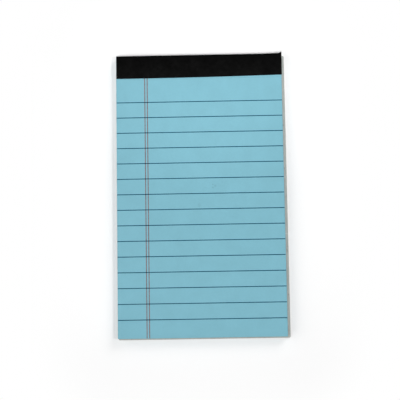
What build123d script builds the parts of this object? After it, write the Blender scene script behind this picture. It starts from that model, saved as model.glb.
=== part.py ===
"""Tear-off memo pad: ruled leaves, chipboard back, folded binding tape and two wire staples.

Millimetres. The origin is at the middle of the pad's underside. +Y runs up the page to the bound edge,
+X to the right of the page and +Z out of the writing face.
"""

import os
from math import sin

from build123d import *

os.makedirs("parts", exist_ok=True)

# Backing board, the largest piece in plan
board_width = 76.4
board_length = 128.02
board_thickness = 0.75
board_corner_radius = 0.6

# Leaves. The top one is set back from the board's edges by the strips of board that show.
sheet_count = 50
sheet_thickness = 0.084
reveal_left = 0.05
reveal_right = 1.55
reveal_foot = 0.62

# The stack isn't quite square: it leans to the left going up, and each leaf is jogged a little. The jogs come
# from a sine whose steps, in radians a leaf, share no rhythm with it, and the top leaf has none.
stack_lean = 0.3
leaf_jog = 0.08
side_jog_step_share = 2.4
foot_jog_step_share = 1.7

# Binding tape. Its front flap was laid a little askew, so it is longer on the left, and its right end runs
# a little past the leaves.
tape_thickness = 0.2
tape_front_left = 10.55
tape_front_right = 9.9
tape_back = 11.5
tape_past_leaves = 0.3

# Perforation, a row of slits that leaves short ties
perforation_below_tape = 0.25
slit_length = 1.6
slit_width = 0.06
tie_length = 0.5

# Staples of flat wire, driven through the leaves and the board and clinched behind
wire_width = 0.6
wire_thickness = 0.45
wire_bend_inside = 0.1
staple_crown = 12.7
staple_clinch = 4.5
staple_spacing = 38.0
staple_drop = 5.0
wire_clearance = 0.05

# Print on the top sheet
ink_thickness = 0.02
rule_width = 0.38
first_rule_drop = 21.55
rule_pitch = 7.0
least_foot_margin = 6.0
margin_line_width = 0.42
margin_line_inset = 12.85
margin_line_gap = 1.12
ink_clearance = 0.02

# How far a trimmed blank runs past the cut that trims it
trim_overrun = 1.0

# Worked out from the sizes above
stack_thickness = sheet_count * sheet_thickness
pad_length = board_length + tape_thickness
bound_edge = pad_length / 2 - tape_thickness
tape_top = pad_length / 2
board_left = -board_width / 2
board_right = board_width / 2
board_base = tape_thickness
stack_base = board_base + board_thickness
stack_top = stack_base + stack_thickness
pad_height = stack_top + tape_thickness

sheet_width = board_width - reveal_left - reveal_right
sheet_length = board_length - reveal_foot
sheet_left = board_left + reveal_left
sheet_right = board_right - reveal_right
sheet_middle = (sheet_left + sheet_right) / 2
sheet_foot = bound_edge - sheet_length

tape_left = sheet_left
tape_right = sheet_right + tape_past_leaves
tape_width = tape_right - tape_left

wire_slot_width = wire_width + 2 * wire_clearance
wire_hole_length = wire_thickness + 2 * wire_clearance
wire_groove_depth = wire_thickness + wire_clearance
wire_bend = wire_thickness / 2 + wire_bend_inside
crown_z = stack_top - wire_thickness / 2
clinch_z = board_base + wire_thickness / 2
staple_y = tape_top - staple_drop
staple_places = {"staple_left": -staple_spacing / 2, "staple_right": staple_spacing / 2}

perforation_y = tape_top - tape_front_left - perforation_below_tape
slit_pitch = slit_length + tie_length
slit_count = int(sheet_width / slit_pitch)

first_rule_y = tape_top - first_rule_drop
rule_count = 1 + int((first_rule_y - sheet_foot - least_foot_margin) / rule_pitch)
rule_places = [first_rule_y - k * rule_pitch for k in range(rule_count)]
margin_line_places = [
    sheet_left + margin_line_inset,
    sheet_left + margin_line_inset + margin_line_gap,
]


def tape_edge_y(x):
    """Height up the page of the front flap's lower edge, which runs askew."""
    share_across = (x - tape_left) / tape_width
    return tape_top - tape_front_left + share_across * (tape_front_left - tape_front_right)


def cut_wire_slot(plane, run, depth):
    """Cuts a slot for a run of staple wire between two points of its middle line, seen from the plane."""
    with BuildSketch(plane) as slot:
        Rectangle(run + wire_hole_length, wire_slot_width)
    extrude(slot.sketch, amount=-depth, mode=Mode.SUBTRACT)


# Backing board: rounded corners, leg holes, and grooves where the clinched legs are pressed in
with BuildPart() as backing_board:
    with BuildSketch(Plane.XY.offset(board_base)):
        with Locations((0, bound_edge - board_length / 2)):
            RectangleRounded(board_width, board_length, board_corner_radius)
    extrude(amount=board_thickness)
    for staple_x in staple_places.values():
        for side in (-1, 1):
            leg_x = staple_x + side * staple_crown / 2
            cut_wire_slot(Plane((leg_x, staple_y, stack_base)), 0, board_thickness)
            clinch_middle = (leg_x - side * staple_clinch / 2, staple_y, board_base)
            underside = Plane(clinch_middle, x_dir=(1, 0, 0), z_dir=(0, 0, -1))
            cut_wire_slot(underside, staple_clinch, wire_groove_depth)
backing_board.part.label = "backing_board"
export_step(backing_board.part, "parts/backing_board.step")

# Leaves: laid on each other one by one into one block, then perforated, then stapled
with BuildPart() as ruled_sheets:
    for level in range(sheet_count):
        leaves_above = sheet_count - 1 - level
        lean = stack_lean * leaves_above / sheet_count
        side_jog = leaf_jog * sin(leaves_above * side_jog_step_share)
        foot_jog = leaf_jog * sin(leaves_above * foot_jog_step_share) ** 2
        with BuildSketch(Plane.XY.offset(stack_base + level * sheet_thickness)):
            with Locations((sheet_middle + lean + side_jog, bound_edge - foot_jog)):
                Rectangle(sheet_width, sheet_length, align=(Align.CENTER, Align.MAX))
        extrude(amount=sheet_thickness)
    with BuildSketch(Plane.XY.offset(stack_base)):
        with Locations((sheet_middle, perforation_y)):
            with GridLocations(slit_pitch, 0, slit_count, 1):
                Rectangle(slit_length, slit_width)
    extrude(amount=stack_thickness, mode=Mode.SUBTRACT)
    for staple_x in staple_places.values():
        cut_wire_slot(Plane((staple_x, staple_y, stack_top)), staple_crown, wire_groove_depth)
        for side in (-1, 1):
            leg_x = staple_x + side * staple_crown / 2
            cut_wire_slot(Plane((leg_x, staple_y, stack_top)), 0, stack_thickness)
ruled_sheets.part.label = "ruled_sheets"
export_step(ruled_sheets.part, "parts/ruled_sheets.step")

# Binding tape: one strip wrapped tight round the bound edge, so its fold's radius is its own thickness
with BuildPart() as binding_tape:
    front_blank_edge = tape_top - max(tape_front_left, tape_front_right) - trim_overrun
    with BuildSketch(Plane.YZ.offset(tape_left)) as wrap:
        with BuildLine():
            Polyline(
                (front_blank_edge, stack_top),
                (bound_edge, stack_top),
                (bound_edge, board_base),
                (tape_top - tape_back, board_base),
                (tape_top - tape_back, 0),
                (tape_top, 0),
                (tape_top, pad_height),
                (front_blank_edge, pad_height),
                close=True,
            )
        make_face()
        fillet(wrap.vertices().group_by(Axis.X)[-1], tape_thickness)
    extrude(amount=tape_width)
    with BuildSketch(Plane.XY.offset(stack_top)):
        with BuildLine():
            Polyline(
                (tape_left, front_blank_edge),
                (tape_right, front_blank_edge),
                (tape_right, tape_edge_y(tape_right)),
                (tape_left, tape_edge_y(tape_left)),
                close=True,
            )
        make_face()
    extrude(amount=tape_thickness, mode=Mode.SUBTRACT)
binding_tape.part.label = "binding_tape"
export_step(binding_tape.part, "parts/binding_tape.step")

# Staples: flat wire down through the stack, its ends clinched inwards under the board
for staple_name, staple_x in staple_places.items():
    leg_places = (staple_x - staple_crown / 2, staple_x + staple_crown / 2)
    with BuildPart() as staple:
        with BuildLine(Plane.XZ.offset(-staple_y)) as wire_route:
            FilletPolyline(
                (leg_places[0] + staple_clinch, clinch_z),
                (leg_places[0], clinch_z),
                (leg_places[0], crown_z),
                (leg_places[1], crown_z),
                (leg_places[1], clinch_z),
                (leg_places[1] - staple_clinch, clinch_z),
                radius=wire_bend,
            )
        with BuildSketch(Plane(wire_route.line @ 0, x_dir=(0, 1, 0), z_dir=wire_route.line % 0)):
            Rectangle(wire_width, wire_thickness)
        sweep()
    staple.part.label = staple_name
    export_step(staple.part, f"parts/{staple_name}.step")

# Printed rules: thin strips of ink across the top sheet, from edge to edge
with BuildPart() as ruled_lines:
    with BuildSketch(Plane.XY.offset(stack_top)):
        for rule_y in rule_places:
            with Locations((sheet_middle, rule_y)):
                Rectangle(sheet_width, rule_width)
    extrude(amount=ink_thickness)
ruled_lines.part.label = "ruled_lines"
export_step(ruled_lines.part, "parts/ruled_lines.step")

# Printed margin: two lines from the tape's edge to the foot, left open where a rule crosses them
with BuildPart() as margin_lines:
    with BuildSketch(Plane.XY.offset(stack_top)):
        for line_x in margin_line_places:
            line_top = tape_edge_y(line_x - margin_line_width / 2) - ink_clearance
            with Locations((line_x, sheet_foot)):
                Rectangle(margin_line_width, line_top - sheet_foot, align=(Align.CENTER, Align.MIN))
        for rule_y in rule_places:
            with Locations((sheet_middle, rule_y)):
                Rectangle(sheet_width, rule_width, mode=Mode.SUBTRACT)
    extrude(amount=ink_thickness)
margin_lines.part.label = "margin_lines"
export_step(margin_lines.part, "parts/margin_lines.step")
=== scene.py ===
"""Looks of the tear-off memo pad, laid out as an add-on: one operator a piece, run in order by main().

Metres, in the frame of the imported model: +Y up the page to the bound edge, +X to the right of the page,
+Z out of the writing face. The sheets, the print and the tape are meshes that stand for the CAD solids. The
board and the staples are the CAD solids themselves, with their finishes.
"""

from math import cos, exp, pi, sin

import bpy
from bpy.props import FloatProperty, FloatVectorProperty, IntProperty, PointerProperty
from mathutils import Matrix, Vector


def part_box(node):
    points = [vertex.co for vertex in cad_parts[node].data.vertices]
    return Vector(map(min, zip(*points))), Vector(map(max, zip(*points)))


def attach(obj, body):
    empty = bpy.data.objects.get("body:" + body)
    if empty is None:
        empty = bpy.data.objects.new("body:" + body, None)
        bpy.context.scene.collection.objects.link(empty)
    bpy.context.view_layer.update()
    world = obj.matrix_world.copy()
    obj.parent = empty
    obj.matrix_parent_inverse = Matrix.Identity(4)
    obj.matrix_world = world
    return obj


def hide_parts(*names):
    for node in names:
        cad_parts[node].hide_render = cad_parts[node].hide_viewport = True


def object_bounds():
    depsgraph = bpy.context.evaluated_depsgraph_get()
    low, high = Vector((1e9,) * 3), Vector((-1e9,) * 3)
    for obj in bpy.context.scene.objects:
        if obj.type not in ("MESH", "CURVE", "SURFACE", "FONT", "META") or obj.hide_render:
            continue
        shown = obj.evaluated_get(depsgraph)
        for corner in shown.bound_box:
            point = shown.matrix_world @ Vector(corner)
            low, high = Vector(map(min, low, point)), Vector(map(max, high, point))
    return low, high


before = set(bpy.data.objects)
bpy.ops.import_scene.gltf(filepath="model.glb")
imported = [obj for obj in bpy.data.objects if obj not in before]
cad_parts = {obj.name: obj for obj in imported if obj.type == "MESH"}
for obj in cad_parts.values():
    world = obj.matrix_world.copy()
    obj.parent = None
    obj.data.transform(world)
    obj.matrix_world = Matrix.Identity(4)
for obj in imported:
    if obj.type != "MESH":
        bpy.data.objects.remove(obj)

bl_info = {
    "name": "Tear-off memo pad",
    "version": (1, 0, 0),
    "blender": (4, 5, 0),
    "location": "3D View > Sidebar > Memo pad",
    "description": "Builds a small tear-off memo pad: ruled blue sheets, chipboard back, black binding tape",
    "category": "Add Mesh",
}

MM = 0.001
DEGREE = pi / 180

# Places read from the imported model. The rules end at the top sheet's sides, the margin lines at its foot.
CAD_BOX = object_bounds()
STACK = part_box("ruled_sheets")
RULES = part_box("ruled_lines")
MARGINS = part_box("margin_lines")
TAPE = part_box("binding_tape")
STAPLES = [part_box("staple_left"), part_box("staple_right")]
SHEET_LEFT = RULES[0].x
SHEET_RIGHT = RULES[1].x
SHEET_FOOT = MARGINS[0].y
BOUND_EDGE = STACK[1].y
STACK_BASE = STACK[0].z
STACK_TOP = STACK[1].z

# Steps of the sines that jog the sheets, in radians a sheet
SIDE_JOG_STEP = 2.4
HEAD_JOG_STEP = 1.7

# Grids of the meshes, in cells
SHEET_COLUMNS = 14
SHEET_ROWS = 26
RULE_COLUMNS = 60
MARGIN_ROWS = 4
TAPE_COLUMNS = 100
TAPE_END_COLUMNS = 12
FRONT_ROWS = 36
FOLD_ROWS = 6
SPINE_ROWS = 8
BACK_ROWS = 24

# Least distances from a fixed grid line to the next even one
SHEET_LINE_GAP = 1 * MM
RULE_LINE_GAP = 0.4 * MM
TAPE_LINE_GAP = 0.35 * MM

# The share of the foot's lift that the middle of the page has, and how much more its sides have
LIFT_MIDDLE_SHARE = 0.8
LIFT_SIDE_SHARE = 0.1

# Waves of the top sheet's ripples across and along the page, and their phases in radians
RIPPLES_ACROSS = 1.3
RIPPLES_ALONG = 0.9
RIPPLE_PHASE_ACROSS = 0.7
RIPPLE_PHASE_ALONG = 0.4

# How fast the flare of the tape's corner dies out down the spine
FLARE_POWER = 1.5

# Faint specks on the top sheet: place across and up the page and radius, in millimetres, and depth of tone
PAPER_SPECKS = (
    (4.8, 4.6, 0.4, 0.16),
    (5.9, 3.9, 0.7, 0.11),
    (4.8, 3.2, 0.4, 0.16),
    (-1.4, -4.7, 1.0, 0.06),
)

# A facet whose normal is at least this upright is the face of a sheet, and the others are its cut sides
FACE_UPRIGHTNESS = 0.5

# Sockets that the mix node uses for colours
MIX_COLOUR_A = 6
MIX_COLOUR_B = 7
MIX_COLOUR_RESULT = 2

# How far the wave texture turns in a metre at a scale of 1, in radians
WAVE_TURN = 20


def linear(hex_colour):
    """Linear RGBA of an sRGB hex colour."""
    channels = [int(hex_colour[k:k + 2], 16) / 255 for k in (1, 3, 5)]
    return [c / 12.92 if c <= 0.04045 else ((c + 0.055) / 1.055) ** 2.4 for c in channels] + [1.0]


def length(name, description, default):
    """A length property, given in millimetres."""
    return FloatProperty(name=name, description=description, default=default * MM, unit="LENGTH", precision=5)


def angle(name, description, default):
    """An angle property, given in degrees."""
    return FloatProperty(name=name, description=description, default=default * DEGREE, subtype="ANGLE")


def power(name, description, default):
    """A lamp's power property, in watts."""
    return FloatProperty(name=name, description=description, default=default, min=0, unit="POWER")


def place(name, description, default):
    """A place property, given in millimetres."""
    return FloatVectorProperty(
        name=name, description=description, default=[c * MM for c in default], subtype="TRANSLATION",
        precision=5,
    )


def colour(name, description, default):
    """A colour property, given as sRGB hex."""
    return FloatVectorProperty(
        name=name, description=description, default=linear(default), size=4, subtype="COLOR", min=0, max=1
    )


class LeafSettings(bpy.types.PropertyGroup):
    """Sizes and colour of the sheets."""

    count: IntProperty(name="Sheets", description="Number of sheets in the stack", default=50, min=2)
    air_gap: length("Air gap", "Air between one sheet and the next", 0.006)
    lean: length("Lean", "How far the lowest sheet lies to the right of the top one", 0.3)
    jog: length("Jog", "How far a sheet may stand out of the stack's side", 0.08)
    foot_lift: length("Foot lift", "How far the top sheet's foot stands up off a flat stack", 0.16)
    ripple: length("Ripple", "Height of the top sheet's soft ripples", 0.02)
    slit_length: length("Slit length", "Length of one perforation slit", 1.6)
    slit_width: length("Slit width", "Width of one perforation slit", 0.06)
    tie_length: length("Tie length", "Paper left between two slits", 0.5)
    slit_drop: length("Slit drop", "From the fold down the page to the slits", 10.8)
    slit_sheets: IntProperty(
        name="Slit sheets", description="Number of sheets at the top that show their slits", default=4, min=0
    )
    paper: colour("Paper", "Dyed writing paper", "#86BECD")


class InkSettings(bpy.types.PropertyGroup):
    """Sizes and colours of the print on the top sheet."""

    rule_count: IntProperty(name="Rules", description="Number of rules", default=15, min=1)
    rule_width: length("Rule width", "Width of a rule", 0.38)
    margin_width: length("Margin line width", "Width of a margin line", 0.42)
    film: length("Ink film", "Height of the ink over the paper", 0.012)
    end_gap: length("End gap", "From the tape's edge to the top end of a margin line", 0.02)
    rule_ink: colour("Rule ink", "Ink of the rules", "#004963")
    margin_ink: colour("Margin ink", "Ink of the margin lines", "#7F6F71")
    crossing_ink: colour("Crossing", "Both inks, where a rule crosses a margin line", "#06121A")


class TapeSettings(bpy.types.PropertyGroup):
    """Sizes and colour of the binding tape."""

    thickness: length("Thickness", "Thickness of the tape", 0.2)
    fold_radius: length("Fold radius", "Outer radius of the two folds", 0.27)
    fold_slack: length("Fold slack", "How far the fold stands off the sheets' bound edge", 0.05)
    front_left: length("Front flap, left", "Length of the front flap at its left end", 10.47)
    front_right: length("Front flap, right", "Length of the front flap at its right end", 9.82)
    edge_bow: length("Edge bow", "How far the front flap's edge sags between its ends", 0.2)
    relief: length("Staple relief", "How far the staples press up through the tape", 0.05)
    relief_reach: length("Relief reach", "How far the relief runs out beside a staple's wire", 0.45)
    rise_height: length("Rise height", "How far the fold drifts outwards towards its right end", 0.26)
    rise_width: length("Rise width", "Length of fold that drifts outwards", 12.0)
    flare_height: length("Flare height", "How far the fold's corner stands off at its right end", 0.7)
    flare_width: length("Flare width", "Length of fold that stands off at its right end", 1.1)
    cloth: colour("Cloth", "Black binding cloth", "#0C0C0C")


class BoardSettings(bpy.types.PropertyGroup):
    """Colour of the board."""

    board: colour("Board", "Grey chipboard", "#B4B6B1")


class StapleSettings(bpy.types.PropertyGroup):
    """Colour of the staples."""

    wire: colour("Wire", "Drawn steel wire", "#B9BCBE")


class StageSettings(bpy.types.PropertyGroup):
    """Floor, lamps and camera."""

    floor: colour("Floor", "White table top", "#FFFFFF")
    bounce: colour("Bounce", "What the table top throws back on the pad", "#EEEEEE")
    reach: length("Reach", "From the pad to the table top's edge", 2000)
    lift: FloatProperty(
        name="Lift", description="White that the table top shows over and above its light", default=0.02
    )
    fade_start: length("Fade start", "From the pad to where the table top runs out into the background", 4)
    fade_end: length("Fade end", "From the pad to where the background is plain", 40)
    ambient: FloatProperty(name="Ambient", description="Strength of the light from all round", default=0.055)
    key_power: power("Key power", "Power of the small lamp on the right", 0.78)
    key_size: length("Key size", "Side of the small lamp on the right", 65)
    key_place: place("Key place", "Where the small lamp on the right is", (240, -90, 560))
    left_power: power("Left power", "Power of the soft lamp on the left", 0.905)
    left_size: length("Left size", "Side of the soft lamp on the left", 500)
    left_place: place("Left place", "Where the soft lamp on the left is", (-450, 0, 350))
    head_power: power("Head power", "Power of the soft lamp beyond the bound edge", 1.36)
    head_size: length("Head size", "Side of the soft lamp beyond the bound edge", 400)
    head_place: place("Head place", "Where the soft lamp beyond the bound edge is", (350, 350, 450))
    foot_power: power("Foot power", "Power of the soft lamp before the foot", 0.85)
    foot_size: length("Foot size", "Side of the soft lamp before the foot", 400)
    foot_place: place("Foot place", "Where the soft lamp before the foot is", (-350, -350, 450))
    top_power: power("Top power", "Power of the lamp above the camera", 5.57)
    top_size: length("Top size", "Radius of the lamp above the camera", 70)
    top_cone: angle("Top cone", "Full cone of the lamp above the camera", 54)
    top_place: place("Top place", "Where the lamps above the camera are", (0, -150, 620))
    top_aim: place("Top aim", "Where the lamp above the camera points", (0, 80, 0))
    glow_power: power("Glow power", "Power of the narrow lamp that brightens the head of the page", 2.45)
    glow_size: length("Glow size", "Radius of the narrow lamp", 17)
    glow_cone: angle("Glow cone", "Full cone of the narrow lamp", 12.5)
    glow_aim: place("Glow aim", "Where the narrow lamp points", (3, 66, 0))
    camera_place: place("Camera place", "Where the photograph was taken from", (6.0, -72.5, 537.39))
    camera_aim: place("Camera aim", "What the middle of the photograph shows", (-1.041, -2.39, 5.15))
    camera_roll: angle("Camera roll", "How far the camera is turned about its view", -0.907)
    camera_near: length("Camera near", "Closest that the camera sees", 10)
    lens: FloatProperty(name="Lens", description="Focal length", default=108.0, unit="CAMERA")
    sensor: FloatProperty(
        name="Sensor", description="Width of the camera's sensor", default=36.0, unit="CAMERA"
    )


class MemoPadSettings(bpy.types.PropertyGroup):
    """All settings of the memo pad."""

    leaves: PointerProperty(type=LeafSettings)
    ink: PointerProperty(type=InkSettings)
    tape: PointerProperty(type=TapeSettings)
    board: PointerProperty(type=BoardSettings)
    staples: PointerProperty(type=StapleSettings)
    stage: PointerProperty(type=StageSettings)


def add_node(owner, kind, settings=(), links=()):
    """Adds a node to a material or a world, sets its inputs or its own values, and links its inputs."""
    node = owner.node_tree.nodes.new(kind)
    for key, value in dict(settings).items():
        if isinstance(key, int) or key in node.inputs:
            node.inputs[key].default_value = value
        else:
            setattr(node, key, value)
    for key, socket in dict(links).items():
        owner.node_tree.links.new(socket, node.inputs[key])
    return node


def empty_material(name):
    """A node material with nothing in it, and the place on the pad that its patterns use."""
    material = bpy.data.materials.new(name)
    material.use_nodes = True
    material.node_tree.nodes.clear()
    return material, add_node(material, "ShaderNodeTexCoord").outputs["Object"]


def finish_material(material, settings, links):
    """Ends a material in a surface shader with these constants and patterns."""
    surface = add_node(material, "ShaderNodeBsdfPrincipled", settings, links)
    add_node(material, "ShaderNodeOutputMaterial", links={"Surface": surface.outputs[0]})
    return material


def noise_layer(material, where, feature, low, high, detail=3.0, stretch=(1, 1, 1), start=0.3, end=0.7):
    """Noise with features of about the given size, its range from start to end mapped to low and high.

    A larger stretch makes the features longer along its axis.
    """
    scaled = add_node(
        material, "ShaderNodeMapping", {"Scale": [1 / (feature * s) for s in stretch]}, {"Vector": where}
    )
    noise = add_node(
        material, "ShaderNodeTexNoise", {"Scale": 1.0, "Detail": detail, "Roughness": 0.55},
        {"Vector": scaled.outputs[0]},
    )
    return add_node(
        material, "ShaderNodeMapRange", {"From Min": start, "From Max": end, "To Min": low, "To Max": high},
        {"Value": noise.outputs["Fac"]},
    ).outputs["Result"]


def layered_tone(material, base, *layers):
    """The base colour, made lighter or darker by the product of the layers."""
    product = layers[0]
    for layer in layers[1:]:
        both = add_node(material, "ShaderNodeMath", {"operation": "MULTIPLY"}, {0: product, 1: layer})
        product = both.outputs[0]
    return add_node(
        material, "ShaderNodeVectorMath", {"operation": "SCALE", 0: list(base)[:3]}, {"Scale": product}
    ).outputs[0]


def speck_layers(material, where):
    """One layer for each round speck. It is darker by its depth, and fades out from half its radius."""
    layers = []
    for across, up, size, depth in PAPER_SPECKS:
        middle, radius = Vector((across * MM, up * MM, STACK_TOP)), size * MM
        off = add_node(material, "ShaderNodeVectorMath", {"operation": "DISTANCE", 1: middle}, {0: where})
        layers.append(add_node(
            material, "ShaderNodeMapRange",
            {
                "interpolation_type": "SMOOTHSTEP",
                "From Min": radius / 2, "From Max": radius, "To Min": 1 - depth, "To Max": 1.0,
            },
            {"Value": off.outputs["Value"]},
        ).outputs["Result"])
    return layers


def dyed_writing_paper(paper):
    """Writing paper, dyed in the pulp and left uncoated.

    Matte blue, faintly clouded where the fibres lie thicker, with a soft tooth, and a few faint specks in the
    middle of the top sheet. Its cut sides show the sheets as fine streaks. Real sheets are 0.08 mm apart, too
    fine to show, so the streaks are drawn about four times as far.
    """
    material, where = empty_material("dyed_writing_paper")
    clouds = noise_layer(material, where, feature=7 * MM, low=0.975, high=1.025)
    tooth = noise_layer(material, where, feature=0.9 * MM, low=0.985, high=1.015, detail=5.0)
    face = layered_tone(material, paper, clouds, tooth, *speck_layers(material, where))
    streaks = noise_layer(
        material, where, feature=0.35 * MM, low=0.66, high=1.26, detail=2.0, stretch=(60, 60, 1)
    )
    side = layered_tone(material, paper, streaks)
    geometry = add_node(material, "ShaderNodeNewGeometry")
    normal = add_node(material, "ShaderNodeSeparateXYZ", links={"Vector": geometry.outputs["Normal"]})
    upright = add_node(material, "ShaderNodeMath", {"operation": "ABSOLUTE"}, {0: normal.outputs["Z"]})
    is_face = add_node(
        material, "ShaderNodeMath", {"operation": "GREATER_THAN", 1: FACE_UPRIGHTNESS},
        {0: upright.outputs[0]},
    )
    tone = add_node(
        material, "ShaderNodeMix", {"data_type": "RGBA"},
        {"Factor": is_face.outputs[0], MIX_COLOUR_A: side, MIX_COLOUR_B: face},
    )
    bump = add_node(material, "ShaderNodeBump", {"Strength": 0.25, "Distance": 0.3 * MM}, {"Height": tooth})
    return finish_material(
        material,
        {"Roughness": 0.92, "Specular IOR Level": 0.15, "Diffuse Roughness": 0.4},
        {"Base Color": tone.outputs[MIX_COLOUR_RESULT], "Normal": bump.outputs[0]},
    )


def offset_ink(name, ink):
    """Offset ink, soaked into uncoated paper.

    Flat and matte, a little uneven where the paper's tooth took less ink.
    """
    material, where = empty_material(name)
    uneven = noise_layer(material, where, feature=0.8 * MM, low=0.8, high=1.25)
    tone = layered_tone(material, ink, uneven)
    return finish_material(material, {"Roughness": 0.9, "Specular IOR Level": 0.1}, {"Base Color": tone})


def embossed_binding_cloth(cloth):
    """Binding tape of black paper-backed cloth, embossed with a fine linen weave.

    Nearly black and matte, with shade painted in: darker towards the fold and lighter towards the front
    flap's edge. It has soft mottling and a dull sheen at a low angle. The real threads lie about 0.3 mm
    apart, too fine to show, so the weave is drawn at 0.5 mm.
    """
    thread_pitch = 0.5 * MM
    # How far down the front flap the painted shade reaches from the fold
    painted_shade_reach = 11 * MM
    material, where = empty_material("embossed_binding_cloth")
    place_on_pad = add_node(material, "ShaderNodeSeparateXYZ", links={"Vector": where})
    # Painted shade: the cloth's tone is made darker towards the fold and lighter towards the front flap's
    # edge
    painted_fold_shade = add_node(
        material, "ShaderNodeMapRange",
        {"From Min": TAPE[1].y - painted_shade_reach, "From Max": TAPE[1].y, "To Min": 1.25, "To Max": 0.6},
        {"Value": place_on_pad.outputs["Y"]},
    ).outputs["Result"]
    patches = noise_layer(material, where, feature=6 * MM, low=0.75, high=1.3)
    mottle = noise_layer(material, where, feature=1.6 * MM, low=0.7, high=1.35)
    wave_scale = 2 * pi / (WAVE_TURN * thread_pitch)
    threads = [
        add_node(
            material, "ShaderNodeTexWave",
            {"bands_direction": axis, "Scale": wave_scale, "Distortion": 0.6, "Detail": 1.0},
            {"Vector": where},
        ).outputs["Fac"]
        for axis in ("X", "Y", "Z")
    ]
    crossed = add_node(material, "ShaderNodeMath", {"operation": "MULTIPLY"}, {0: threads[0], 1: threads[1]})
    weave = add_node(material, "ShaderNodeMath", {"operation": "ADD"}, {0: crossed.outputs[0], 1: threads[2]})
    bump = add_node(
        material, "ShaderNodeBump", {"Strength": 0.5, "Distance": 0.04 * MM}, {"Height": weave.outputs[0]}
    )
    return finish_material(
        material,
        {"Roughness": 0.7, "Specular IOR Level": 0.01, "Sheen Weight": 0.001, "Sheen Roughness": 0.4},
        {"Base Color": layered_tone(material, cloth, painted_fold_shade, patches, mottle), "Normal": bump.outputs[0]},
    )


def grey_chipboard(board):
    """Chipboard, pressed from waste paper and rolled flat.

    Dull grey with a warm cast, flecked with darker and lighter fibres, and slightly rough to the touch.
    """
    material, where = empty_material("grey_chipboard")
    clouds = noise_layer(material, where, feature=9 * MM, low=0.95, high=1.05)
    fibres = noise_layer(
        material, where, feature=0.7 * MM, low=0.93, high=1.07, detail=5.0, stretch=(1, 3, 1)
    )
    dark_flecks = noise_layer(
        material, where, feature=1.1 * MM, low=0.72, high=1.0, detail=2.0, stretch=(1, 2, 1),
        start=0.3, end=0.36,
    )
    light_flecks = noise_layer(
        material, where, feature=1.3 * MM, low=1.0, high=1.16, detail=2.0, stretch=(2, 1, 1),
        start=0.66, end=0.7,
    )
    bump = add_node(material, "ShaderNodeBump", {"Strength": 0.5, "Distance": 0.2 * MM}, {"Height": fibres})
    return finish_material(
        material,
        {"Roughness": 0.95, "Specular IOR Level": 0.15},
        {"Base Color": layered_tone(material, board, clouds, fibres, dark_flecks, light_flecks),
         "Normal": bump.outputs[0]},
    )


def drawn_steel_wire(wire):
    """Steel wire, drawn through a die and rolled flat.

    Bright metal with faint scratches along the wire, whose crown runs across the page and whose legs run down
    through it.
    """
    material, where = empty_material("drawn_steel_wire")
    scratches, along = 0.05 * MM, (20, 1, 20)
    tone = noise_layer(material, where, feature=scratches, low=0.9, high=1.05, detail=2.0, stretch=along)
    roughness = noise_layer(
        material, where, feature=scratches, low=0.24, high=0.38, detail=2.0, stretch=along
    )
    return finish_material(
        material, {"Metallic": 1.0},
        {"Base Color": layered_tone(material, wire, tone), "Roughness": roughness},
    )


def seen_by_eye(owner):
    """1 for the rays that reach the camera straight, by a mirror or through glass."""
    rays = add_node(owner, "ShaderNodeLightPath")
    direct = add_node(
        owner, "ShaderNodeMath", {"operation": "MAXIMUM"},
        {0: rays.outputs["Is Camera Ray"], 1: rays.outputs["Is Glossy Ray"]},
    )
    return add_node(
        owner, "ShaderNodeMath", {"operation": "MAXIMUM"},
        {0: direct.outputs[0], 1: rays.outputs["Is Transmission Ray"]},
    ).outputs[0]


def white_table_top(stage):
    """White laminate table top, pressed and matte.

    Plain white that takes the pad's soft shadow, and runs out into the white background away from the pad.
    """
    material, where = empty_material("white_table_top")
    lit = add_node(material, "ShaderNodeBsdfDiffuse", {"Color": stage.bounce})
    shown = add_node(material, "ShaderNodeBsdfDiffuse", {"Color": stage.floor})
    white = add_node(material, "ShaderNodeEmission", {"Color": stage.floor, "Strength": 1.0})
    lifted = add_node(material, "ShaderNodeEmission", {"Color": stage.floor, "Strength": stage.lift})
    near = add_node(material, "ShaderNodeAddShader", links={0: shown.outputs[0], 1: lifted.outputs[0]})
    folded = add_node(material, "ShaderNodeVectorMath", {"operation": "ABSOLUTE"}, {0: where})
    beyond = add_node(
        material, "ShaderNodeVectorMath", {"operation": "SUBTRACT", 1: CAD_BOX[1]}, {0: folded.outputs[0]}
    )
    outside = add_node(
        material, "ShaderNodeVectorMath", {"operation": "MAXIMUM", 1: (0, 0, 0)}, {0: beyond.outputs[0]}
    )
    away = add_node(material, "ShaderNodeVectorMath", {"operation": "LENGTH"}, {0: outside.outputs[0]})
    far = add_node(
        material, "ShaderNodeMapRange",
        {"interpolation_type": "SMOOTHSTEP", "From Min": stage.fade_start, "From Max": stage.fade_end},
        {"Value": away.outputs["Value"]},
    )
    table = add_node(
        material, "ShaderNodeMixShader",
        links={0: far.outputs["Result"], 1: near.outputs[0], 2: white.outputs[0]},
    )
    mixed = add_node(
        material, "ShaderNodeMixShader",
        links={0: seen_by_eye(material), 1: lit.outputs[0], 2: table.outputs[0]},
    )
    add_node(material, "ShaderNodeOutputMaterial", links={"Surface": mixed.outputs[0]})
    return material


def finish_piece(piece, slot, *replaced):
    """Puts a finished piece on the pad's one body, in its nodes' place. The slot is not used."""
    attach(piece, "root")
    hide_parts(*replaced)


def new_piece(name, vertices, faces, materials, face_materials=None):
    """A mesh object from its points and faces."""
    mesh = bpy.data.meshes.new(name)
    mesh.from_pydata(vertices, [], faces)
    for material in materials:
        mesh.materials.append(material)
    if face_materials:
        mesh.polygons.foreach_set("material_index", face_materials)
    mesh.validate()
    mesh.update()
    piece = bpy.data.objects.new(name, mesh)
    bpy.context.scene.collection.objects.link(piece)
    return piece


def even_lines(start, end, count):
    """Grid lines at even distances."""
    return [start + (end - start) * k / count for k in range(count + 1)]


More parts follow.
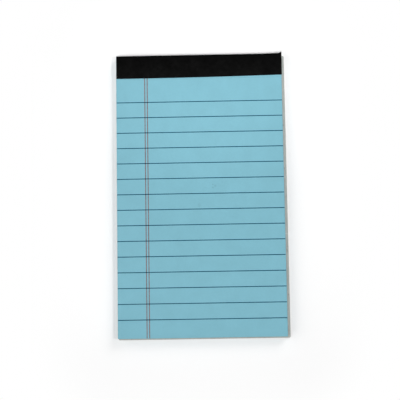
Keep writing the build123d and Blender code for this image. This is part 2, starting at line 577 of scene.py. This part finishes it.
def merged_lines(lines, fixed, nearest):
    """Grid lines with the fixed ones added, and those that crowd a fixed one left out."""
    kept = [a for a in lines if all(abs(a - b) > nearest for b in fixed)]
    return sorted(kept + list(fixed))


def flat_skins(surface, thickness):
    """Skins of a sheet that lies flat: its surface, and points the thickness below it."""

    def skins(x, y):
        top = Vector(surface(x, y))
        return top, top - Vector((0, 0, thickness))

    return skins


def add_cells(vertices, faces, x_lines, y_lines, skins, is_open=None):
    """Adds a thin sheet on a grid, with closed walls round its outline and round each open cell.

    The skins give the outer and the inner point of a grid place. The open test is asked for each cell's
    column and row. Returns the column and row of each new face's cell.
    """
    columns, rows = len(x_lines) - 1, len(y_lines) - 1
    first = len(vertices)
    for y in y_lines:
        for x in x_lines:
            vertices.extend(skins(x, y))

    def point(column, row, inner):
        return first + 2 * (row * (columns + 1) + column) + inner

    def solid(column, row):
        inside = 0 <= column < columns and 0 <= row < rows
        return inside and not (is_open and is_open(column, row))

    added = []
    for row in range(rows):
        for column in range(columns):
            if not solid(column, row):
                continue
            corners = [(column, row), (column + 1, row), (column + 1, row + 1), (column, row + 1)]
            faces.append([point(*c, 0) for c in corners])
            faces.append([point(*c, 1) for c in reversed(corners)])
            added += [(column, row)] * 2
            neighbours = [(column, row - 1), (column + 1, row), (column, row + 1), (column - 1, row)]
            for side, neighbour in enumerate(neighbours):
                if not solid(*neighbour):
                    a, b = corners[side], corners[(side + 1) % len(corners)]
                    faces.append([point(*b, 0), point(*a, 0), point(*a, 1), point(*b, 1)])
                    added.append((column, row))
    return added


def drop_loose(vertices, faces):
    """Points that a face uses, and the faces renumbered to them."""
    used = sorted({v for face in faces for v in face})
    new_number = {v: k for k, v in enumerate(used)}
    return [vertices[v] for v in used], [[new_number[v] for v in face] for face in faces]


def slit_line(settings):
    """Height up the page of the row of perforation slits."""
    return TAPE[1].y - settings.leaves.slit_drop


def leaf_rise(x, y, share, settings):
    """Height of a sheet's point over a flat stack. The share is 1 for the top sheet and 0 at the board."""
    leaves = settings.leaves
    hinge = slit_line(settings)
    along = max(0.0, (hinge - y) / (hinge - SHEET_FOOT))
    across = (x - SHEET_LEFT) / (SHEET_RIGHT - SHEET_LEFT)
    curl = leaves.foot_lift * along ** 2 * (LIFT_MIDDLE_SHARE + LIFT_SIDE_SHARE * (2 * across - 1) ** 2)
    ripples = sin(2 * pi * across * RIPPLES_ACROSS + RIPPLE_PHASE_ACROSS)
    ripples *= cos(2 * pi * along * RIPPLES_ALONG + RIPPLE_PHASE_ALONG)
    return share ** 2 * (curl + leaves.ripple * along * ripples)


class MEMOPAD_OT_leaves(bpy.types.Operator):
    """Builds the stack of sheets, each one a sheet of its own, with the perforation through the top ones"""

    bl_idname = "memo_pad.leaves"
    bl_label = "Sheets"

    def execute(self, context):
        settings = context.scene.memo_pad
        leaves = settings.leaves
        width = SHEET_RIGHT - SHEET_LEFT
        sheet_length = BOUND_EDGE - SHEET_FOOT
        pitch = (STACK_TOP - STACK_BASE) / leaves.count
        slit_y = slit_line(settings)
        slit_pitch = leaves.slit_length + leaves.tie_length
        slit_count = int(width / slit_pitch)
        slit_start = -(slit_count * slit_pitch - leaves.tie_length) / 2
        slit_edges = [
            slit_start + k * slit_pitch + end for k in range(slit_count) for end in (0, leaves.slit_length)
        ]
        plain_x = even_lines(-width / 2, width / 2, SHEET_COLUMNS)
        slit_x = [-width / 2] + slit_edges + [width / 2]
        slit_rows = [slit_y - leaves.slit_width / 2, slit_y + leaves.slit_width / 2]
        plain_y = even_lines(-sheet_length, 0, SHEET_ROWS)

        vertices, faces = [], []
        for level in range(leaves.count):
            above = leaves.count - 1 - level
            middle = (SHEET_LEFT + SHEET_RIGHT) / 2 + leaves.lean * above / leaves.count
            middle += leaves.jog * sin(above * SIDE_JOG_STEP)
            head = BOUND_EDGE - leaves.jog * sin(above * HEAD_JOG_STEP) ** 2
            share = (level + 1) / leaves.count
            top = STACK_BASE + (level + 1) * pitch
            slit = above < leaves.slit_sheets
            fixed = [y - head for y in slit_rows]
            y_lines = merged_lines(plain_y, fixed, SHEET_LINE_GAP) if slit else plain_y
            slit_row = y_lines.index(fixed[0]) if slit else None

            def surface(x, y):
                page_x, page_y = middle + x, head + y
                return page_x, page_y, top + leaf_rise(page_x, page_y, share, settings)

            # In the slits' row every second cell is a slit, and the others are ties
            add_cells(
                vertices, faces, slit_x if slit else plain_x, y_lines,
                flat_skins(surface, pitch - leaves.air_gap),
                lambda column, row: row == slit_row and column % 2 == 1,
            )
        vertices, faces = drop_loose(vertices, faces)
        piece = new_piece("sheets", vertices, faces, [dyed_writing_paper(leaves.paper)])
        finish_piece(piece, "blue_paper", "ruled_sheets")
        return {"FINISHED"}


class MEMOPAD_OT_ink(bpy.types.Operator):
    """Lays the rules and the double margin line on the top sheet, as films of ink that follow it"""

    bl_idname = "memo_pad.ink"
    bl_label = "Rules and margin lines"

    def execute(self, context):
        settings = context.scene.memo_pad
        ink = settings.ink
        margin_edges = [
            MARGINS[0].x, MARGINS[0].x + ink.margin_width, MARGINS[1].x - ink.margin_width, MARGINS[1].x
        ]
        rule_pitch = (RULES[1].y - RULES[0].y - ink.rule_width) / (ink.rule_count - 1)
        rule_edges = [
            (RULES[0].y + k * rule_pitch, RULES[0].y + k * rule_pitch + ink.rule_width)
            for k in range(ink.rule_count)
        ]

        film = flat_skins(
            lambda x, y: (x, y, STACK_TOP + leaf_rise(x, y, 1.0, settings) + ink.film), ink.film
        )
        rule_x = merged_lines(even_lines(SHEET_LEFT, SHEET_RIGHT, RULE_COLUMNS), margin_edges, RULE_LINE_GAP)
        crossings = {rule_x.index(margin_edges[0]), rule_x.index(margin_edges[2])}
        vertices, faces, inks = [], [], []
        for edges in rule_edges:
            cells = add_cells(vertices, faces, rule_x, edges, film)
            inks += [int(column in crossings) for column, row in cells]
        rules = new_piece(
            "rules", vertices, faces,
            [offset_ink("rule_ink", ink.rule_ink), offset_ink("crossing_ink", ink.crossing_ink)], inks
        )
        finish_piece(rules, "rule_ink", "ruled_lines")

        vertices, faces = [], []
        for left, right in (margin_edges[:2], margin_edges[2:]):
            bottoms = [SHEET_FOOT] + [high for low, high in rule_edges]
            tops = [low for low, high in rule_edges] + [front_edge(left, settings.tape) - ink.end_gap]
            for bottom, top in zip(bottoms, tops):
                add_cells(vertices, faces, [left, right], even_lines(bottom, top, MARGIN_ROWS), film)
        margins = new_piece("margins", vertices, faces, [offset_ink("margin_ink", ink.margin_ink)])
        finish_piece(margins, "margin_ink", "margin_lines")
        return {"FINISHED"}


def front_edge(x, tape):
    """Height up the page of the front flap's lower edge, which runs askew and sags a little."""
    across = (x - TAPE[0].x) / (TAPE[1].x - TAPE[0].x)
    flap = tape.front_left + across * (tape.front_right - tape.front_left) + tape.edge_bow * sin(pi * across)
    return TAPE[1].y - flap


def staple_relief(x, y, tape):
    """Height of the soft ridge that a staple's crown presses up in the front flap."""
    height = 0.0
    for low, high in STAPLES:
        beside = max(low.x - x, x - high.x, 0.0) / tape.relief_reach
        off = (y - (low.y + high.y) / 2) / tape.relief_reach
        height = max(height, exp(-off ** 2 - beside ** 2))
    return tape.relief * height


def fold_stand_off(x, point, tape):
    """How far the fold stands off the sheets: more towards its right end, and most at the corner there."""
    spread = tape.fold_radius + tape.flare_width
    near_fold = max(0.0, 1 - (TAPE[1].y - point.y) / spread)
    from_end = TAPE[1].x - x
    drift = tape.fold_slack + tape.rise_height * max(0.0, 1 - from_end / tape.rise_width) ** 2
    down = (TAPE[1].z - point.z) / (TAPE[1].z - TAPE[0].z)
    flare = tape.flare_height * max(0.0, 1 - from_end / tape.flare_width) * (1 - down) ** FLARE_POWER
    return near_fold * (drift + flare)


def tape_section(x, tape):
    """Outer points and outward normals along the tape, from the front flap's edge to the back one's."""
    radius = tape.fold_radius
    fold, floor, roof = TAPE[1].y - radius, TAPE[0].z, TAPE[1].z
    front_rows = even_lines(front_edge(x, tape), fold, FRONT_ROWS)
    points = [(Vector((x, y, roof)), Vector((0, 0, 1))) for y in front_rows]
    for turn in even_lines(0, pi / 2, FOLD_ROWS)[1:-1]:
        normal = Vector((0, sin(turn), cos(turn)))
        points.append((Vector((x, fold, roof - radius)) + normal * radius, normal))
    for z in even_lines(roof - radius, floor + radius, SPINE_ROWS):
        points.append((Vector((x, TAPE[1].y, z)), Vector((0, 1, 0))))
    for turn in even_lines(0, pi / 2, FOLD_ROWS)[1:-1]:
        normal = Vector((0, cos(turn), -sin(turn)))
        points.append((Vector((x, fold, floor + radius)) + normal * radius, normal))
    points += [(Vector((x, y, floor)), Vector((0, 0, -1))) for y in even_lines(fold, TAPE[0].y, BACK_ROWS)]
    return points


class MEMOPAD_OT_tape(bpy.types.Operator):
    """Folds the binding tape over the bound edge, with the staples' relief and a flare at its right end"""

    bl_idname = "memo_pad.tape"
    bl_label = "Binding tape"

    def execute(self, context):
        tape = context.scene.memo_pad.tape
        left, right = TAPE[0].x, TAPE[1].x
        ends = even_lines(right - tape.flare_width, right, TAPE_END_COLUMNS)
        crown_ends = [x for low, high in STAPLES for x in (low.x, high.x)]
        x_lines = merged_lines(even_lines(left, right, TAPE_COLUMNS), crown_ends + ends, TAPE_LINE_GAP)

        # The grid runs across the pad and, in steps of the section, round the fold
        sections = {x: tape_section(x, tape) for x in x_lines}
        steps = range(len(sections[left]))

        def skins(x, step):
            point, normal = sections[x][step]
            lifted = staple_relief(x, point.y, tape) * max(0.0, normal.z)
            stand_off = Vector((0, fold_stand_off(x, point, tape), 0))
            return point + normal * lifted + stand_off, point - normal * tape.thickness + stand_off

        vertices, faces = [], []
        add_cells(vertices, faces, x_lines, steps, skins)
        piece = new_piece("tape", vertices, faces, [embossed_binding_cloth(tape.cloth)])
        finish_piece(piece, "black_tape", "binding_tape")
        return {"FINISHED"}


def dress_node(name, material):
    """Gives a CAD node its one material."""
    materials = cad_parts[name].data.materials
    materials.clear()
    materials.append(material)


class MEMOPAD_OT_board(bpy.types.Operator):
    """Gives the chipboard back its finish"""

    bl_idname = "memo_pad.board"
    bl_label = "Chipboard back"

    def execute(self, context):
        dress_node("backing_board", grey_chipboard(context.scene.memo_pad.board.board))
        return {"FINISHED"}


class MEMOPAD_OT_staples(bpy.types.Operator):
    """Gives the two staples their finish"""

    bl_idname = "memo_pad.staples"
    bl_label = "Staples"

    def execute(self, context):
        wire = drawn_steel_wire(context.scene.memo_pad.staples.wire)
        for name in ("staple_left", "staple_right"):
            dress_node(name, wire)
        return {"FINISHED"}


class MEMOPAD_OT_stage(bpy.types.Operator):
    """Adds the floor, the lamps and the camera"""

    bl_idname = "memo_pad.stage"
    bl_label = "Stage"

    def execute(self, context):
        stage = context.scene.memo_pad.stage
        context.scene.view_settings.view_transform = "Standard"
        reach = stage.reach
        corners = [(-reach, -reach, 0), (reach, -reach, 0), (reach, reach, 0), (-reach, reach, 0)]
        new_piece("floor", corners, [(0, 1, 2, 3)], [white_table_top(stage)])
        self.add_world(context.scene, stage)
        self.add_area_lamp("key", stage.key_place, stage.key_power, stage.key_size)
        self.add_area_lamp("left", stage.left_place, stage.left_power, stage.left_size)
        self.add_area_lamp("head", stage.head_place, stage.head_power, stage.head_size)
        self.add_area_lamp("foot", stage.foot_place, stage.foot_power, stage.foot_size)
        self.add_spot_lamp(
            "top", stage.top_place, stage.top_aim, stage.top_power, stage.top_size, stage.top_cone
        )
        self.add_spot_lamp(
            "glow", stage.top_place, stage.glow_aim, stage.glow_power, stage.glow_size, stage.glow_cone
        )
        self.add_camera(context.scene, stage)
        return {"FINISHED"}

    def add_world(self, scene, stage):
        """Pale light from all round, which the camera and mirrors see as white."""
        world = bpy.data.worlds.new("studio")
        world.use_nodes = True
        world.node_tree.nodes.clear()
        light = add_node(world, "ShaderNodeBackground", {"Color": stage.floor, "Strength": stage.ambient})
        white = add_node(world, "ShaderNodeBackground", {"Color": stage.floor, "Strength": 1.0})
        mixed = add_node(
            world, "ShaderNodeMixShader",
            links={0: seen_by_eye(world), 1: light.outputs[0], 2: white.outputs[0]},
        )
        add_node(world, "ShaderNodeOutputWorld", links={"Surface": mixed.outputs[0]})
        scene.world = world

    def hang(self, lamp, where, aim):
        """Hangs a lamp at its place, turned to its aim."""
        holder = bpy.data.objects.new(lamp.name, lamp)
        holder.location = where
        holder.rotation_euler = (Vector(aim) - Vector(where)).to_track_quat("-Z", "Y").to_euler()
        bpy.context.scene.collection.objects.link(holder)

    def add_area_lamp(self, name, where, watts, size):
        """A square lamp that points at the middle of the pad."""
        lamp = bpy.data.lights.new(name, "AREA")
        lamp.energy = watts
        lamp.size = size
        self.hang(lamp, where, (0, 0, 0))

    def add_spot_lamp(self, name, where, aim, watts, size, cone):
        """A round lamp whose light fades evenly towards the edge of its cone."""
        lamp = bpy.data.lights.new(name, "SPOT")
        lamp.energy = watts
        lamp.shadow_soft_size = size
        lamp.spot_size = cone
        lamp.spot_blend = 1.0
        self.hang(lamp, where, aim)

    def add_camera(self, scene, stage):
        """The camera, nearly straight above the foot of the page."""
        where, roll = Vector(stage.camera_place), stage.camera_roll
        ahead = (Vector(stage.camera_aim) - where).normalized()
        across = ahead.cross(Vector((0, 1, 0))).normalized()
        up = across.cross(ahead)
        turned = across * cos(roll) + up * sin(roll)
        upright = up * cos(roll) - across * sin(roll)
        camera = bpy.data.cameras.new("camera")
        camera.lens = stage.lens
        camera.sensor_width = stage.sensor
        camera.clip_start = stage.camera_near
        holder = bpy.data.objects.new("camera", camera)
        turn = Matrix((turned, upright, -ahead)).transposed().to_4x4()
        holder.matrix_world = Matrix.Translation(where) @ turn
        scene.collection.objects.link(holder)
        scene.camera = holder


class MEMOPAD_PT_panel(bpy.types.Panel):
    """Lists the pad's operators, each with its settings"""

    bl_label = "Memo pad"
    bl_space_type = "VIEW_3D"
    bl_region_type = "UI"
    bl_category = "Memo pad"

    def draw(self, context):
        for group, operator in STEPS.items():
            self.layout.operator(operator.bl_idname)
            settings = getattr(context.scene.memo_pad, group)
            for name in settings.__annotations__:
                self.layout.prop(settings, name)


GROUPS = (
    LeafSettings, InkSettings, TapeSettings, BoardSettings, StapleSettings, StageSettings, MemoPadSettings
)
STEPS = {
    "leaves": MEMOPAD_OT_leaves,
    "ink": MEMOPAD_OT_ink,
    "tape": MEMOPAD_OT_tape,
    "board": MEMOPAD_OT_board,
    "staples": MEMOPAD_OT_staples,
    "stage": MEMOPAD_OT_stage,
}
CLASSES = GROUPS + tuple(STEPS.values()) + (MEMOPAD_PT_panel,)


def register():
    """Registers the classes and the settings."""
    for item in CLASSES:
        bpy.utils.register_class(item)
    bpy.types.Scene.memo_pad = PointerProperty(type=MemoPadSettings)


def unregister():
    """Takes the classes and the settings away again."""
    del bpy.types.Scene.memo_pad
    for item in reversed(CLASSES):
        bpy.utils.unregister_class(item)


def main():
    """Builds the pad and its stage."""
    register()
    bpy.ops.memo_pad.leaves()
    bpy.ops.memo_pad.ink()
    bpy.ops.memo_pad.tape()
    bpy.ops.memo_pad.board()
    bpy.ops.memo_pad.staples()
    bpy.ops.memo_pad.stage()


if __name__ == "__main__":
    main()
